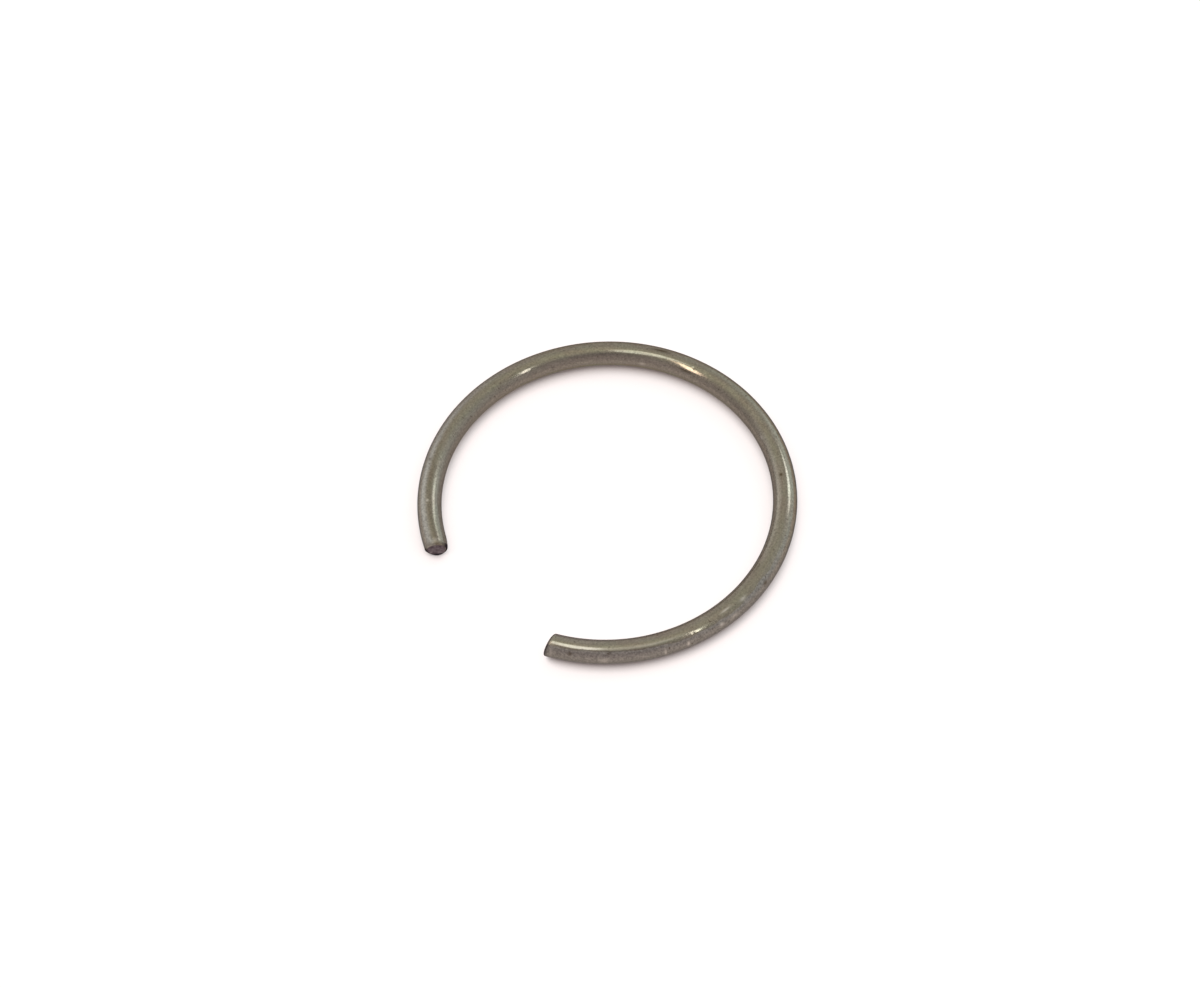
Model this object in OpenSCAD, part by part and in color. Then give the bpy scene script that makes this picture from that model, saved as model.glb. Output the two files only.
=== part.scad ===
// Round-wire retaining ring: one length of spring wire, coiled to an open ring.
// Sizes are in millimetres and degrees. The ring lies flat round the Z axis,
// with z = 0 at the middle of the wire, and its gap faces -Y.

/* [Ring] */
// Diameter of the round wire
wire_d = 1.6; // [0.8:0.1:2.5]
// Outside diameter of the ring, lying free
ring_od = 24.9; // [18:0.1:60]
// Angle between the middles of the two ends, seen from the ring's centre
gap_angle = 53; // [30:0.5:120]

/* [Ends] */
// How far each cut is turned from square, both clockwise seen from above
cut_lean = 12.5; // [0:0.5:30]
// How far each cut leans from upright, both the same way along the wire
cut_tilt = 3; // [0:0.5:15]
// Width of the broken edge round each cut face
edge_break = 0.12; // [0.02:0.01:0.25]

/* [Hidden] */
$fn = 96;

wire_r = wire_d / 2;
centreline_r = (ring_od - wire_d) / 2;

// The wire is first coiled one wire diameter past each end, and then cut back
overrun_angle = wire_d / centreline_r * 180 / PI;

// The flat of a cut face, inside its broken edge
cut_face_r = wire_r - edge_break;
// The broken edge is a 45 degree cone, deep enough to run out of the wire
cone_depth = wire_r;
cone_mouth_r = cut_face_r + cone_depth;

// The cutter is wide and long enough to take the whole overrun away
cutter_r = cone_mouth_r + wire_r;
cutter_h = 2 * wire_d;

// Coiled wire before its ends are cut
module coiled_wire() {
    rotate([0, 0, gap_angle / 2 - overrun_angle - 90])
        rotate_extrude(angle = 360 - gap_angle + 2 * overrun_angle)
            translate([centreline_r, 0])
                circle(r = wire_r);
}

// What a cut takes away: all that lies above the face at z = 0, and the face's edge
module cutter() {
    rotate_extrude()
        polygon([
            [0, 0],
            [cut_face_r, 0],
            [cone_mouth_r, -cone_depth],
            [cutter_r, -cone_depth],
            [cutter_r, cutter_h],
            [0, cutter_h]
        ]);
}

// One cut, with side = 1 for the end on +X and -1 for the end on -X
module end_cut(side) {
    rotate([0, 0, side * gap_angle / 2 - 90])
        translate([centreline_r, 0, 0])
            rotate([0, 0, -cut_lean])
                rotate([side * 90 - cut_tilt, 0, 0])
                    cutter();
}

module circlip() {
    color([0.45, 0.43, 0.38])
        difference() {
            coiled_wire();
            for (side = [-1, 1])
                end_cut(side);
        }
}

circlip();
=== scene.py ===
"""A round-wire retaining ring on a pale floor, seen from above at an angle."""

from math import cos, pi, radians, sin, tan

import bpy
import numpy as np
from mathutils import Matrix, Vector


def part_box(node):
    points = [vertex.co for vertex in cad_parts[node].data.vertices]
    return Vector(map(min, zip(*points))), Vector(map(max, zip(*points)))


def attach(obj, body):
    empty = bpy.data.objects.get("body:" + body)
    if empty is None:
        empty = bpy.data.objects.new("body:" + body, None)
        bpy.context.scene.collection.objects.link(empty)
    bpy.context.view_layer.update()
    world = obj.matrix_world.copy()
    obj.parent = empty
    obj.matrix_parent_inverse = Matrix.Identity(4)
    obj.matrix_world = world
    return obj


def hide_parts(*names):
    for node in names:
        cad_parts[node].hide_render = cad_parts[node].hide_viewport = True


MM = 0.001
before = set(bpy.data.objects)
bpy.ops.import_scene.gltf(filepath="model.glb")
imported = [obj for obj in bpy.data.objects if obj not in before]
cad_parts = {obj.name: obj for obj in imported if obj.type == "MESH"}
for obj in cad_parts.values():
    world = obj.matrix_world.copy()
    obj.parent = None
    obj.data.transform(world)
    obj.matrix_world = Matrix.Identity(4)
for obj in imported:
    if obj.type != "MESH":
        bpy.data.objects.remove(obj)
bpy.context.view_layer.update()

# Sizes of the ring, in millimetres and degrees. The frame gives the wire and the ring.
low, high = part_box("circlip")
WIRE_R = (high[2] - low[2]) / 2 / MM
CENTRELINE_R = (high[0] - low[0]) / 2 / MM - WIRE_R
GAP_ANGLE = 53.0
CUT_LEAN = 12.5
CUT_TILT = 3.0
EDGE_BREAK = 0.12
HALF_LENGTH = radians(360 - GAP_ANGLE) / 2 * CENTRELINE_R

# How finely the wire is meshed
SECTIONS = 900
AROUND = 72
RIM_RINGS = 6
FACE_RINGS = 14

# Wear that is cut into the mesh
SCUFF_COUNT = 80
PIT_COUNT = 60
# The left end's inner corner: how far it is pressed outwards, over which length of wire
PRESSED_BY = 0.11
PRESSED_LENGTH = 0.9

# The photograph's view: where the camera stands, and how its picture is turned and framed.
# Angles are in degrees, the distance is in metres and the sensor in millimetres.
VIEW_AZIMUTH = 47.15
VIEW_ELEVATION = 57.0
VIEW_ROLL = 2.3
VIEW_DISTANCE = 0.466
FRAME_WIDTH_PX = 1200
FRAME_HEIGHT_PX = 988
SENSOR_WIDTH = 36.0
PX_PER_MM = 15.273
RING_CENTRE_PX = (607.25, 500.7)

# The floor, in metres and degrees. The light that it gathers leans to the back, so that the
# ring's shadow falls to the front.
FLOOR_HALF_WIDTH = 1.5
SHADOW_REACH = 0.02
SHADOW_TILT = 20.0
SHADOW_AZIMUTH = -12.0
FLOOR_GLOW = 0.60
FLOOR_GLOW_IN_REFLECTIONS = 0.62

# Lamps stand this far from the ring, in metres. Each has a name, an azimuth and an elevation, a
# radiance, the azimuth of the level direction that its first axis follows, half the angles that
# it spans along that axis and across it, and a tint.
LAMP_DISTANCE = 0.5
LAMPS = [
    ("overhead", -105, 81.5, 2.0, 90, (6.0, 16.0), (0.84, 0.92, 1.0)),
    ("front_right", 126, 57, 12.0, -37, (13.0, 0.8), (0.88, 0.93, 1.0)),
    ("front_left", -114.1, 60.3, 7.0, -53, (3.0, 17.0), (1.0, 0.86, 0.78)),
    ("back_right", 45, 40, 3.3, 90, (11.5, 5.5), (0.78, 0.87, 1.0)),
]

# The room's light, and soft patches of it: azimuth, elevation, sharpness, and what each adds
ROOM_LEVEL = (0.84, 0.83, 0.86)
ROOM_PATCHES = [
    (-60, 80, 8.0, (0.48, 0.48, 0.36)),
    (-95, 15, 4.0, (-0.13, -0.16, -0.17)),
    (90, 22, 3.5, (0.13, 0.17, 0.18)),
    (45, 18, 8.0, (0.66, 0.84, 0.96)),
    (-55, 20, 15.0, (0.80, 0.85, 0.92)),
    (-42, 30, 8.0, (0.20, 0.23, 0.24)),
    (-10, 2, 6.0, (0.14, 0.07, 0.09)),
    (125, 68, 25.0, (0.12, 0.15, 0.13)),
    (180, 8, 3.0, (0.08, -0.02, -0.02)),
    (180, 52, 12.0, (-0.34, -0.33, -0.31)),
]

# Every single mark that the photo shows on the wire, and one painted highlight: where along it, at which
# angle of its section, how long, how far round, and how much lighter (positive) or darker (negative)
# than the steel
MARKS_AND_HIGHLIGHT = [
    # Round the back
    (5.6, 1.31, 0.45, 0.09, -1.0),
    (3.5, 2.34, 0.42, 0.08, -0.8),
    (6.7, 2.86, 0.13, 0.12, 0.35),
    (-4.3, 2.37, 0.12, 0.06, 0.45),
    # Wide, faint changes of tone
    (-27.0, 1.95, 5.0, 0.45, 0.045),
    (-9.0, 2.20, 6.0, 0.50, -0.07),
    (16.0, 2.10, 3.5, 0.25, -0.08),
    (-9.0, 0.50, 6.5, 0.35, 0.045),
    # On the right
    (-7.7, 1.78, 0.09, 0.10, -1.0),
    (-15.4, 1.95, 0.40, 0.06, -0.5),
    (-16.4, 2.48, 0.45, 0.06, -0.5),
    (-15.9, 0.59, 0.12, 0.12, -0.8),
    (-17.8, 1.12, 0.16, 0.10, 0.6),
    (-18.9, 0.49, 0.14, 0.14, 0.4),
    (-19.2, 1.33, 0.25, 0.05, 0.8),
    (-19.9, 0.51, 0.10, 0.12, 0.6),
    # In front, up to the right end's cut
    (-22.3, 0.30, 0.05, 0.16, 1.0),
    (-23.8, 0.24, 0.04, 0.20, 0.8),
    (-24.4, 1.23, 1.3, 0.06, 0.35),
    (-27.3, 0.87, 0.10, 0.12, -0.55),
    (-27.6, 0.21, 0.18, 0.20, 0.35),
    (-28.5, 1.24, 2.2, 0.10, 0.30),
    (-29.7, 0.65, 0.10, 0.12, -0.7),
    (-30.9, 0.55, 0.05, 0.40, 0.30),
    # On the left, up to the left end's cut
    (24.6, 1.12, 0.10, 0.12, -0.5),
    (27.5, 1.60, 3.6, 0.14, -0.30),
    (27.8, 1.45, 0.08, 0.09, 0.8),
    (29.0, 2.15, 3.0, 0.25, -0.12),
    # A painted highlight on the top edge just short of the left end's cut, not a mark
    (30.9, 1.55, 0.10, 0.16, 0.50),
]

rng = np.random.RandomState(7)


# Geometry of the wire. A point of it is (along, radial, height) in millimetres on the straight
# wire, with along counted from the middle of the back, and bending takes it to the ring. phi is
# the angle of the wire's section in radians: 0 is its outer side, a quarter turn is its top and
# a half turn is its inner side. The left end is the end at the greatest along, where end = 1,
# and the right end is the other one, where end = -1.

def bend_to_ring(points):
    angle = pi / 2 + points[..., 0] / CENTRELINE_R
    reach = CENTRELINE_R + points[..., 1]
    return np.stack([reach * np.cos(angle), reach * np.sin(angle), points[..., 2]], axis=-1)


def bell(distance, width):
    return np.exp(-0.5 * (distance / width) ** 2)


def angle_between(a, b):
    return (a - b + pi) % (2 * pi) - pi


def cut_offset(radial, height):
    """How far along the wire the cut plane lies at a point of the wire's section."""
    return height * tan(radians(CUT_TILT)) - radial * tan(radians(CUT_LEAN))


def make_dents():
    """Dents as (along, angle, length, spread, depth): scuffs on the right and in front, then pits."""
    dents = []
    for _ in range(SCUFF_COUNT):
        dents.append((rng.uniform(-29, -4), rng.normal(-0.3, 0.4), rng.uniform(0.04, 0.10),
                      rng.uniform(0.10, 0.45), rng.uniform(0.002, 0.009)))
    for _ in range(PIT_COUNT):
        size = rng.uniform(0.05, 0.11)
        dents.append((rng.uniform(-31, 31), rng.uniform(-pi, pi), size,
                      size / WIRE_R, rng.uniform(0.003, 0.010)))
    return dents


def mark_and_highlight_tones(points):
    """How much lighter or darker than the steel each point is, from -1 to 1, from every single mark and
    from one painted highlight.
    """
    phi = np.arctan2(points[:, 2], points[:, 1])
    tones = np.zeros(len(points))
    for where, side, length, spread, tone in MARKS_AND_HIGHLIGHT:
        tones += tone * bell(points[:, 0] - where, length) * bell(angle_between(phi, side), spread)
    return np.clip(tones, -1, 1)


def wire_relief(along, phi):
    """Depth of the wire's dents below its true round surface, in millimetres."""
    wave = np.sin(along * 1.7 + 3 * np.sin(along * 0.31)) * np.cos(phi)
    depth = 0.0015 * (1 + wave)
    for where, side, length, spread, deep in make_dents():
        depth = depth + deep * bell(along - where, length) * bell(angle_between(phi, side), spread)
    return depth


def face_relief(radial, height):
    """Depth of a cut face: smooth and sheared in its upper part, torn in its lower part."""
    torn = 1 / (1 + np.exp((height + 0.15 + 0.2 * radial) / 0.06))
    grain = np.sin(radial * 23 + 4 * np.sin(height * 9)) * np.sin(height * 31 + 2 * radial)
    return 0.012 + 0.022 * torn + 0.006 * grain * (0.25 + torn)


def rim_width(phi, end):
    """Width of the rolled edge round a cut face. The left end's is widest at its inner corner
    and in two places below, and the right end's is nearly even."""
    if end > 0:
        upper = 0.5 * bell(angle_between(phi, 1.5), 0.6) + 0.9 * bell(angle_between(phi, 3.0), 0.5)
        lower = 0.9 * bell(angle_between(phi, -0.7), 0.35) + 0.7 * bell(angle_between(phi, -2.3), 0.3)
        return EDGE_BREAK * (1 + upper + lower)
    return EDGE_BREAK * (1.15 + 0.25 * np.sin(phi * 2 + 0.6))


def pinch(along, phi):
    """The left end's inner corner is pressed outwards by the shears, in millimetres."""
    near_end = np.clip((along - HALF_LENGTH + PRESSED_LENGTH) / PRESSED_LENGTH, 0, 1.3)
    inner_side = 0.5 - 0.5 * np.cos(phi)
    return PRESSED_BY * near_end ** 2 * inner_side ** 2


def shaded_edge_share(radius, phi, end):
    """How much painted shade darkens a cut end at its edge, from 0 to 1. The shade goes all round on the
    right end. On the left end it leaves the top free and is widest at the bottom."""
    start = 0.77
    light_top = 0
    if end > 0:
        start = start - 0.14 * bell(angle_between(phi, -pi / 2), 0.5)
        light_top = np.clip((np.cos(phi - 1.3) - 0.25) / 0.5, 0, 1)
    return np.clip((radius / WIRE_R - start) / 0.07, 0, 1) * (1 - light_top)


def end_profile(rim):
    """Rings of a cut end, each as its radius, how far it lies behind the cut, and whether it is
    on the face: a quarter circle over the rolled edge, then the flat face to its middle."""
    face_r = WIRE_R - rim
    rings = []
    for step in range(1, RIM_RINGS + 1):
        turn = pi / 2 * step / RIM_RINGS
        on_face = 1 if step == RIM_RINGS else 0
        rings.append((WIRE_R - rim * (1 - cos(turn)), rim * (1 - sin(turn)), on_face))
    for step in range(1, FACE_RINGS + 1):
        rings.append((face_r * (1 - step / FACE_RINGS), np.zeros_like(rim), 1))
    return rings


def end_rings(phi, end):
    """Rings of points from the wire's side, over the rolled edge, to the middle of a cut face,
    each with how far it belongs to the face and how much painted shade its edge puts on it."""
    rim = rim_width(phi, end)
    face_r = WIRE_R - rim
    rings = []
    for radius, behind, on_face in end_profile(rim):
        radial = radius * np.cos(phi)
        height = radius * np.sin(phi)
        inside = np.clip((face_r - radius) / (0.25 * face_r), 0, 1)
        behind = behind + face_relief(radial, height) * inside ** 2 * (3 - 2 * inside)
        along = end * (HALF_LENGTH - behind) + cut_offset(radial, height)
        # How much painted shade the end's edge gets here
        shaded_edge = shaded_edge_share(radius, phi, end)
        radial = radial + pinch(along, phi) * radius / WIRE_R
        rings.append(np.stack([along, radial, height, np.full_like(phi, on_face), shaded_edge], axis=-1))
    return rings


def side_rings(phi):
    """Rings of points along the wire's side, from the right end to the left one. They stop a
    little short of the rolled edges, and no point of them is on a face or gets the edges' painted shade."""
    first = -HALF_LENGTH + 1.2 * rim_width(phi, -1)
    last = HALF_LENGTH - 1.2 * rim_width(phi, 1)
    share = np.linspace(0, 1, SECTIONS)[:, None]
    along = first + share * (last - first)
    radius = WIRE_R - wire_relief(along, phi[None, :])
    radial = radius * np.cos(phi)
    height = radius * np.sin(phi)
    along = along + cut_offset(radial, height)
    radial = radial + pinch(along, phi[None, :])
    nowhere = np.zeros_like(along)
    return list(np.stack([along, radial, height, nowhere, nowhere], axis=-1))


def ring_faces(ring_count, last_centre):
    """Faces between neighbouring rings, and a fan at each end to the middle of its cut face. The
    points are the right end's middle, then the rings, then the left end's middle."""
    faces = []
    for i in range(AROUND):
        j = (i + 1) % AROUND
        faces.append((0, 1 + j, 1 + i))
        for k in range(ring_count - 1):
            a = 1 + k * AROUND
            b = a + AROUND
            faces.append((a + i, a + j, b + j, b + i))
        a = 1 + (ring_count - 1) * AROUND
        faces.append((a + i, a + j, last_centre))
    return faces


def build_ring():
    phi = np.linspace(0, 2 * pi, AROUND, endpoint=False)
    right = end_rings(phi, -1)[::-1]
    left = end_rings(phi, 1)
    rings = right + side_rings(phi) + left
    # Each cut face's innermost ring has shrunk to one point
    stacked = np.concatenate([rings[0][:1]] + rings[1:-1] + [rings[-1][:1]])
    points = stacked[:, :3]
    from_cut = HALF_LENGTH - np.abs(points[:, 0] - cut_offset(points[:, 1], points[:, 2]))
    shares = {
        "cut_face": stacked[:, 3],
        # Painted shade on the cut ends' edges
        "shaded_edge": stacked[:, 4],
        "near_cut": np.clip((0.30 - from_cut) / 0.12, 0, 1),
        # Light and dark marks, and one painted highlight
        "marks_and_highlight": mark_and_highlight_tones(points),
    }

    mesh = bpy.data.meshes.new("circlip_wire")
    faces = ring_faces(len(rings) - 2, len(points) - 1)
    mesh.from_pydata((bend_to_ring(points) * MM).tolist(), [], faces)
    mesh.shade_smooth()
    store = mesh.attributes.new("wire_coords", "FLOAT_VECTOR", "POINT")
    store.data.foreach_set("vector", points.astype(np.float32).ravel())
    for name, values in shares.items():
        store = mesh.attributes.new(name, "FLOAT", "POINT")
        store.data.foreach_set("value", values.astype(np.float32))
    ring = bpy.data.objects.new("circlip_wire", mesh)
    bpy.context.scene.collection.objects.link(ring)
    return ring


# Node helpers

class Nodes:
    """Adds nodes to one tree and links them, so that a material reads from top to bottom."""

    def __init__(self, tree):
        self.tree = tree
        tree.nodes.clear()

    def add(self, kind, inputs=None, **settings):
        node = self.tree.nodes.new(kind)
        for name, value in settings.items():
            setattr(node, name, value)
        for name, value in (inputs or {}).items():
            self.feed(node.inputs[name], value)
        return node

    def feed(self, socket, value):
        if isinstance(value, bpy.types.NodeSocket):
            self.tree.links.new(value, socket)
        else:
            socket.default_value = value

    def math(self, operation, a, b=0.0):
        node = self.add("ShaderNodeMath", operation=operation)
        self.feed(node.inputs[0], a)
        self.feed(node.inputs[1], b)
        return node.outputs[0]

    def plus(self, a, b):
        return self.math("ADD", a, b)

    def times(self, a, b):
        return self.math("MULTIPLY", a, b)

    def attribute(self, name, output="Fac"):
        return self.add("ShaderNodeAttribute", attribute_name=name).outputs[output]

    def stretch(self, vector, scale):
        node = self.add("ShaderNodeVectorMath", operation="MULTIPLY")
        self.feed(node.inputs[0], vector)
        self.feed(node.inputs[1], scale)
        return node.outputs[0]

    def noise(self, vector, scale, detail=3.0, roughness=0.5):
        inputs = {"Vector": vector, "Scale": scale, "Detail": detail, "Roughness": roughness}
        return self.add("ShaderNodeTexNoise", inputs).outputs["Fac"]

    def ramp(self, value, low, high, to_low=0.0, to_high=1.0):
        inputs = {"Value": value, "From Min": low, "From Max": high, "To Min": to_low, "To Max": to_high}
        return self.add("ShaderNodeMapRange", inputs, clamp=True).outputs["Result"]

    def grey(self, value):
        node = self.add("ShaderNodeCombineColor")
        for channel in range(3):
            self.feed(node.inputs[channel], value)
        return node.outputs[0]

    def mix(self, fac, a, b, blend="MIX"):
        """Mixes two colours. The node's colour sockets are its inputs 6 and 7 and its output 2."""
        node = self.add("ShaderNodeMix", data_type="RGBA", blend_type=blend)
        self.feed(node.inputs[0], fac)
        self.feed(node.inputs[6], a)
        self.feed(node.inputs[7], b)
        return node.outputs[2]

    def bump(self, height, distance, normal=None):
        node = self.add("ShaderNodeBump", {"Height": height, "Distance": distance})
        if normal is not None:
            self.feed(node.inputs["Normal"], normal)
        return node.outputs["Normal"]


def colour(red, green, blue):
    return (red, green, blue, 1.0)


def new_material(name):
    material = bpy.data.materials.new(name)
    material.use_nodes = True
    return material, Nodes(material.node_tree)


# Spring steel. Places along the wire are in millimetres and angles of its section in radians.

BARE_STEEL = colour(0.188, 0.172, 0.123)
OXIDE = colour(0.187, 0.158, 0.117)
STREAK = colour(0.222, 0.199, 0.154)
SCUFFED_STEEL = colour(0.200, 0.184, 0.159)
INNER_STEEL = colour(0.198, 0.176, 0.150)
WORN_STEEL = colour(0.205, 0.180, 0.158)
# Painted reflection: a lighter tone where the left's outer side mirrors a pale part of the room
PAINTED_PALE_SHEEN = colour(0.236, 0.222, 0.190)
SPECK = colour(0.080, 0.060, 0.042)
DARK_MARK = colour(0.060, 0.042, 0.022)
# Light marks share this colour with one painted highlight near the left end
LIGHT_MARK_AND_HIGHLIGHT = colour(0.480, 0.440, 0.380)
FACE_DARK = colour(0.078, 0.056, 0.062)
FACE_LIGHT = colour(0.195, 0.165, 0.170)
# Painted shade on the cut ends' rolled edges, darkest at the bottom
PAINTED_EDGE_SHADE = colour(0.030, 0.024, 0.028)
RIM_BELOW = colour(0.60, 0.57, 0.58)
RIM_ABOVE = colour(0.33, 0.35, 0.38)
RIM_AT_CUT = colour(0.18, 0.15, 0.17)


def wear_and_sheen_zones(n, coords, along, phi):
    """Where the wire shows wear, and where a pale reflection is painted on it, each from 0 to 1. Its
    outer side is scuffed on the right and in front, less far up at one smooth spot. The left is dull,
    its outer side gets a painted pale reflection, and the inner side in front is rubbed."""
    wobbly_phi = n.plus(phi, n.ramp(n.noise(coords, 1.2), 0.3, 0.7, -0.07, 0.07))
    from_smooth_spot = n.math("ABSOLUTE", n.plus(along, 20.8))
    raised_phi = n.plus(wobbly_phi, n.ramp(from_smooth_spot, 2.0, 4.5, 0.20, 0.0))
    scuffed_side = n.times(n.ramp(raised_phi, 1.08, 0.98), n.ramp(phi, -1.3, -0.9))
    # The pale outer side on the left is a painted reflection, not wear
    painted_sheen_side = n.times(n.ramp(wobbly_phi, 1.48, 1.18), n.ramp(phi, -0.9, -0.3))
    return {
        "scuffed": n.times(scuffed_side, n.ramp(along, -10.0, -16.0)),
        "dull": n.ramp(along, 16.5, 21.0),
        "pale": n.times(painted_sheen_side, n.ramp(along, 13.0, 21.0)),
        "rubbed": n.times(n.ramp(along, -24.0, -28.5), n.ramp(phi, 1.85, 2.25)),
    }


def side_tone(n, coords, phi, blotches, grain, wear_and_sheen):
    """Colour of the wire's side: steel with blotches of oxide and long streaks from drawing the
    wire, its scuffed and rubbed zones, a painted pale reflection on the left's outer side, a fine grain,
    dark specks, each single mark and one painted highlight."""
    tone = n.mix(n.ramp(blotches, 0.38, 0.62), BARE_STEEL, OXIDE)
    streaks = n.noise(n.stretch(coords, (0.12, 1.0, 1.0)), 5.0, 4.0, 0.6)
    tone = n.mix(n.ramp(streaks, 0.48, 0.72, 0.0, 0.6), tone, STREAK)
    tone = n.mix(wear_and_sheen["scuffed"], tone, SCUFFED_STEEL)
    tone = n.mix(n.ramp(phi, 1.9, 2.6, 0.0, 0.7), tone, INNER_STEEL)
    tone = n.mix(n.times(wear_and_sheen["rubbed"], 0.7), tone, WORN_STEEL)
    # Painted reflection on the left's outer side
    tone = n.mix(n.times(wear_and_sheen["pale"], 0.8), tone, PAINTED_PALE_SHEEN)
    contrast = n.ramp(wear_and_sheen["scuffed"], 0.0, 1.0, 0.25, 0.36)
    shade = n.times(n.times(n.math("SUBTRACT", grain, 0.5), contrast), 6.0)
    tone = n.mix(1.0, tone, n.grey(n.plus(shade, 1.0)), "MULTIPLY")
    specks = n.noise(coords, 5.0, 1.0, 0.5)
    tone = n.mix(n.ramp(specks, 0.70, 0.76, 0.0, 0.7), tone, SPECK)
    marks_and_highlight = n.attribute("marks_and_highlight")
    tone = n.mix(n.ramp(marks_and_highlight, 0.0, -1.0), tone, DARK_MARK)
    # Light marks, and the painted highlight at the left end's top edge
    return n.mix(n.ramp(marks_and_highlight, 0.0, 1.0), tone, LIGHT_MARK_AND_HIGHLIGHT)


def with_cut_faces(n, tone, coords, along, height, grain, shaded_edge):
    """Lays the mottled cut faces, and the painted shade on their edges, over the colour of the wire's
    side. The faces' tops are ragged, and the right end's edge gets less painted shade."""
    mottled = n.ramp(n.noise(coords, 4.0, 4.0, 0.7), 0.38, 0.62)
    ragged_height = n.plus(height, n.times(grain, 0.7))
    face = n.times(n.attribute("cut_face"), n.ramp(ragged_height, 0.80, 1.15, 1.0, 0.45))
    tone = n.mix(face, tone, n.mix(mottled, FACE_DARK, FACE_LIGHT))
    # Painted shade along the cut ends' edges
    edge = n.times(shaded_edge, n.ramp(along, -1.0, 1.0, 0.65, 1.0))
    return n.mix(edge, tone, PAINTED_EDGE_SHADE)


def steel_roughness(n, radial, blotches, wear_and_sheen):
    """Rougher where the wire is scuffed or dull, near its cuts and on its inner side."""
    roughness = n.ramp(blotches, 0.3, 0.7, 0.105, 0.13)
    roughness = n.plus(roughness, n.times(wear_and_sheen["scuffed"], 0.28))
    roughness = n.plus(roughness, n.times(wear_and_sheen["dull"], 0.09))
    roughness = n.plus(roughness, n.times(n.attribute("near_cut"), 0.35))
    return n.plus(roughness, n.ramp(radial, -0.45, -0.65, 0.0, 0.25))


def steel_normal(n, coords, grain, wear_and_sheen):
    """Bumps of the draw lines, the grain and the scuffed skin, with heights in metres."""
    draw_lines = n.noise(n.stretch(coords, (0.06, 1.0, 1.0)), 20.0, 3.0, 0.6)
    rough_parts = n.math("MAXIMUM", wear_and_sheen["scuffed"], n.times(wear_and_sheen["dull"], 0.13))
    rough_skin = n.times(n.noise(coords, 6.0, 3.0, 0.7), rough_parts)
    normal = n.bump(draw_lines, 0.0000002)
    normal = n.bump(grain, 0.0000001, normal)
    return n.bump(rough_skin, 0.000016, normal)


def steel_rim_tint(n, height, shaded_edge):
    """What the steel's reflections are dimmed to at a grazing angle. The photo has a dark line
    along the wire's upper outlines and none near the floor, so they are dimmed more on the upper
    half, and most at the dark edges of the cuts."""
    tint = n.mix(n.ramp(height, -0.12, 0.12), RIM_BELOW, RIM_ABOVE)
    return n.mix(shaded_edge, tint, RIM_AT_CUT)


def spring_steel():
    material, n = new_material("spring_steel")
    coords = n.attribute("wire_coords", "Vector")
    place = n.add("ShaderNodeSeparateXYZ", {"Vector": coords})
    along, radial, height = place.outputs["X"], place.outputs["Y"], place.outputs["Z"]
    phi = n.math("ARCTAN2", height, radial)
    shaded_edge = n.attribute("shaded_edge")
    blotches = n.noise(n.stretch(coords, (0.45, 1.0, 1.0)), 1.6, 5.0, 0.65)
    grain = n.noise(coords, 7.5, 3.0, 0.75)
    wear_and_sheen = wear_and_sheen_zones(n, coords, along, phi)
    tone = side_tone(n, coords, phi, blotches, grain, wear_and_sheen)
    shader = n.add("ShaderNodeBsdfPrincipled", {
        "Base Color": with_cut_faces(n, tone, coords, along, height, grain, shaded_edge),
        "Metallic": 1.0,
        "Roughness": steel_roughness(n, radial, blotches, wear_and_sheen),
        "Specular Tint": steel_rim_tint(n, height, shaded_edge),
        "Normal": steel_normal(n, coords, grain, wear_and_sheen),
    })
    n.add("ShaderNodeOutputMaterial", {"Surface": shader.outputs["BSDF"]})
    return material


# Stage, lamps and camera

def turned_with_view(x, y, z):
    """Takes a direction from the photograph's frame, with y away from the camera, to the ring's."""
    return Matrix.Rotation(radians(VIEW_AZIMUTH), 3, "Z") @ Vector((x, y, z))


def sky_direction(azimuth, elevation):
    """Azimuth is counted from straight behind the ring towards the picture's right."""
    a = radians(azimuth)
    e = radians(elevation)
    return turned_with_view(sin(a) * cos(e), cos(a) * cos(e), sin(e))


def pale_floor():
    """White to the camera and pale to reflections, with the ring's soft, slightly pink shadow."""
    material, n = new_material("pale_floor")
    path = n.add("ShaderNodeLightPath")
    reflected = n.math("MAXIMUM", path.outputs["Is Glossy Ray"], path.outputs["Is Transmission Ray"])
    x, y, z = sky_direction(SHADOW_AZIMUTH, 90 - SHADOW_TILT)
    towards_light = n.add("ShaderNodeCombineXYZ", {"X": x, "Y": y, "Z": z}).outputs["Vector"]
    gathered = {"Distance": SHADOW_REACH, "Normal": towards_light}
    openness = n.add("ShaderNodeAmbientOcclusion", gathered).outputs["AO"]
    glow = n.times(n.ramp(openness, 0.10, 0.59, 0.0, FLOOR_GLOW), path.outputs["Is Camera Ray"])
    glow = n.math("MAXIMUM", glow, n.times(reflected, FLOOR_GLOW_IN_REFLECTIONS))
    paper_grain = n.noise(n.add("ShaderNodeTexCoord").outputs["Object"], 900.0, 3.0)
    paper = n.mix(paper_grain, colour(0.465, 0.350, 0.318), colour(0.475, 0.360, 0.328))
    lit = n.add("ShaderNodeBsdfDiffuse", {"Color": paper})
    own = n.add("ShaderNodeEmission", {"Color": colour(1.0, 1.06, 1.08), "Strength": glow})
    both = n.add("ShaderNodeAddShader")
    n.feed(both.inputs[0], lit.outputs["BSDF"])
    n.feed(both.inputs[1], own.outputs["Emission"])
    n.add("ShaderNodeOutputMaterial", {"Surface": both.outputs["Shader"]})
    return material


def add_floor():
    half = FLOOR_HALF_WIDTH
    z = -WIRE_R * MM
    mesh = bpy.data.meshes.new("floor")
    mesh.from_pydata([(-half, -half, z), (half, -half, z), (half, half, z), (-half, half, z)],
                     [], [(0, 1, 2, 3)])
    floor = bpy.data.objects.new("floor", mesh)
    bpy.context.scene.collection.objects.link(floor)
    mesh.materials.append(pale_floor())


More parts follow.
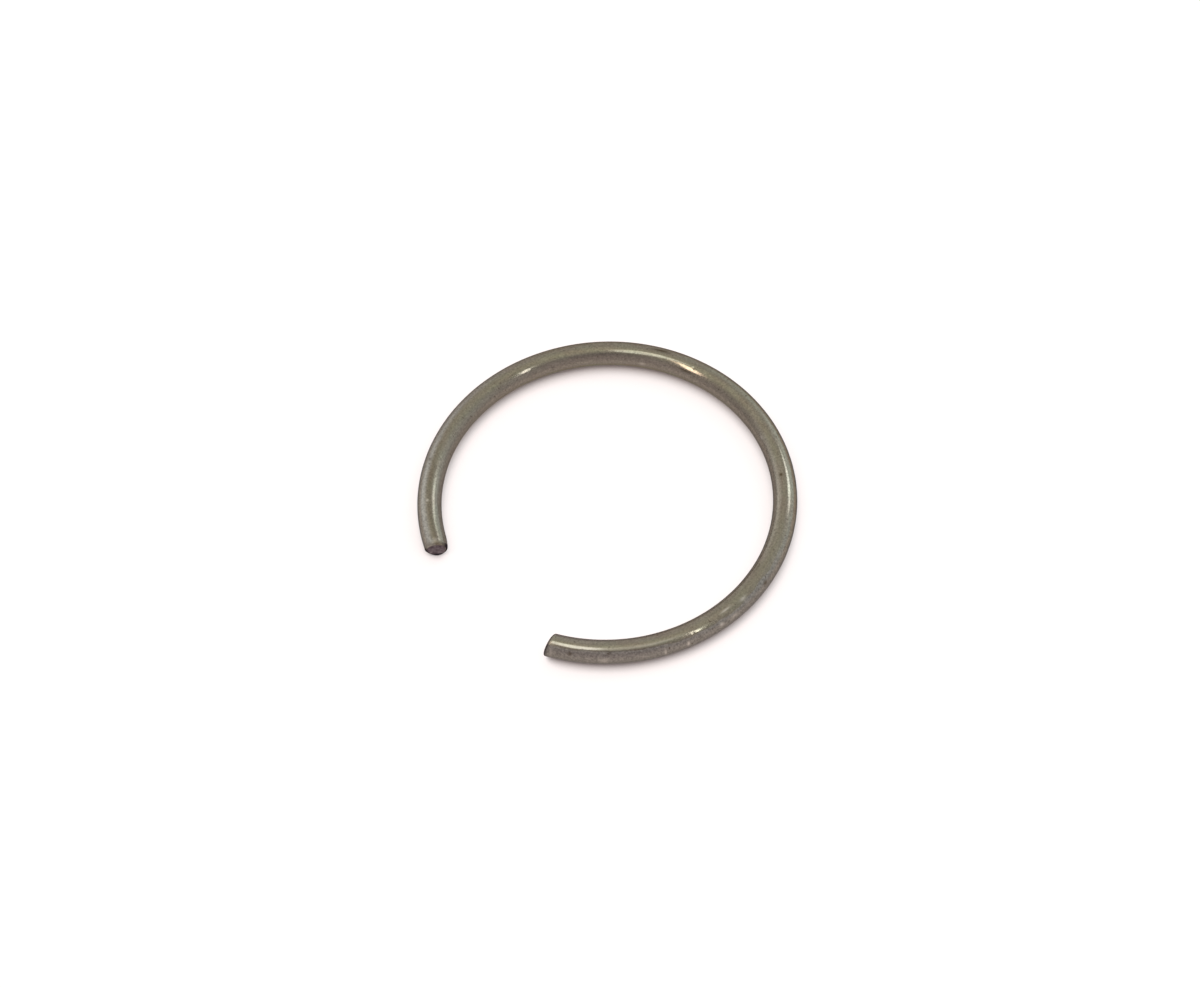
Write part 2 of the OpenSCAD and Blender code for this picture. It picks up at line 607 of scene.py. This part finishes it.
def add_lamp(name, azimuth, elevation, radiance, axis_azimuth, half_angles, tint):
    """A soft panel that faces the ring."""
    direction = sky_direction(azimuth, elevation)
    axis = sky_direction(axis_azimuth, 0)
    axis = (axis - direction * axis.dot(direction)).normalized()
    data = bpy.data.lights.new(name, "AREA")
    data.shape = "ELLIPSE"
    data.size = 2 * LAMP_DISTANCE * tan(radians(half_angles[0]))
    data.size_y = 2 * LAMP_DISTANCE * tan(radians(half_angles[1]))
    data.energy = radiance * pi * (pi / 4 * data.size * data.size_y)
    data.color = tint
    lamp = bpy.data.objects.new(name, data)
    turn = Matrix((axis, direction.cross(axis), direction)).transposed()
    lamp.matrix_world = Matrix.Translation(direction * LAMP_DISTANCE) @ turn.to_4x4()
    bpy.context.scene.collection.objects.link(lamp)


def room_light(n):
    """The room's light in each direction: its level, plus a bell round each patch's middle."""
    towards = n.add("ShaderNodeTexCoord").outputs["Generated"]
    light = ROOM_LEVEL
    for azimuth, elevation, sharpness, strength in ROOM_PATCHES:
        aligned = n.add("ShaderNodeVectorMath", operation="DOT_PRODUCT")
        n.feed(aligned.inputs[0], towards)
        n.feed(aligned.inputs[1], sky_direction(azimuth, elevation))
        fall = n.times(n.math("SUBTRACT", aligned.outputs["Value"], 1.0), sharpness)
        patch = n.add("ShaderNodeVectorMath", operation="SCALE")
        n.feed(patch.inputs[0], strength)
        n.feed(patch.inputs["Scale"], n.math("EXPONENT", fall))
        total = n.add("ShaderNodeVectorMath", operation="ADD")
        n.feed(total.inputs[0], light)
        n.feed(total.inputs[1], patch.outputs["Vector"])
        light = total.outputs["Vector"]
    return light


def add_world():
    """A plain pale room with a few lighter and darker sides, white to the camera."""
    world = bpy.data.worlds.new("room")
    world.use_nodes = True
    bpy.context.scene.world = world
    n = Nodes(world.node_tree)
    path = n.add("ShaderNodeLightPath")
    room = n.add("ShaderNodeBackground", {"Color": room_light(n)})
    white = n.add("ShaderNodeBackground", {"Color": colour(1.0, 1.0, 1.0)})
    both = n.add("ShaderNodeMixShader", {"Fac": path.outputs["Is Camera Ray"]})
    n.feed(both.inputs[1], room.outputs["Background"])
    n.feed(both.inputs[2], white.outputs["Background"])
    n.add("ShaderNodeOutputWorld", {"Surface": both.outputs["Shader"]})


def add_camera():
    """The photograph's camera, which looks at the ring's centre with its picture rolled a little."""
    back = turned_with_view(0, -cos(radians(VIEW_ELEVATION)), sin(radians(VIEW_ELEVATION)))
    right = turned_with_view(1, 0, 0)
    up = back.cross(right)
    roll = radians(VIEW_ROLL)
    rolled_right = right * cos(roll) - up * sin(roll)
    rolled_up = right * sin(roll) + up * cos(roll)
    data = bpy.data.cameras.new("camera")
    data.sensor_width = SENSOR_WIDTH
    data.lens = PX_PER_MM / MM * VIEW_DISTANCE / FRAME_WIDTH_PX * SENSOR_WIDTH
    data.shift_x = (FRAME_WIDTH_PX / 2 - RING_CENTRE_PX[0]) / FRAME_WIDTH_PX
    data.shift_y = (RING_CENTRE_PX[1] - FRAME_HEIGHT_PX / 2) / FRAME_WIDTH_PX
    data.clip_start = 0.01
    data.clip_end = 10
    camera = bpy.data.objects.new("camera", data)
    turn = Matrix((rolled_right, rolled_up, back)).transposed()
    camera.matrix_world = Matrix.Translation(back * VIEW_DISTANCE) @ turn.to_4x4()
    bpy.context.scene.collection.objects.link(camera)
    bpy.context.scene.camera = camera


add_camera()
ring = build_ring()
ring.data.materials.append(spring_steel())
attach(ring, "root")
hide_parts("circlip")
add_floor()
add_world()
for lamp in LAMPS:
    add_lamp(*lamp)

bpy.context.scene.view_settings.view_transform = "Standard"
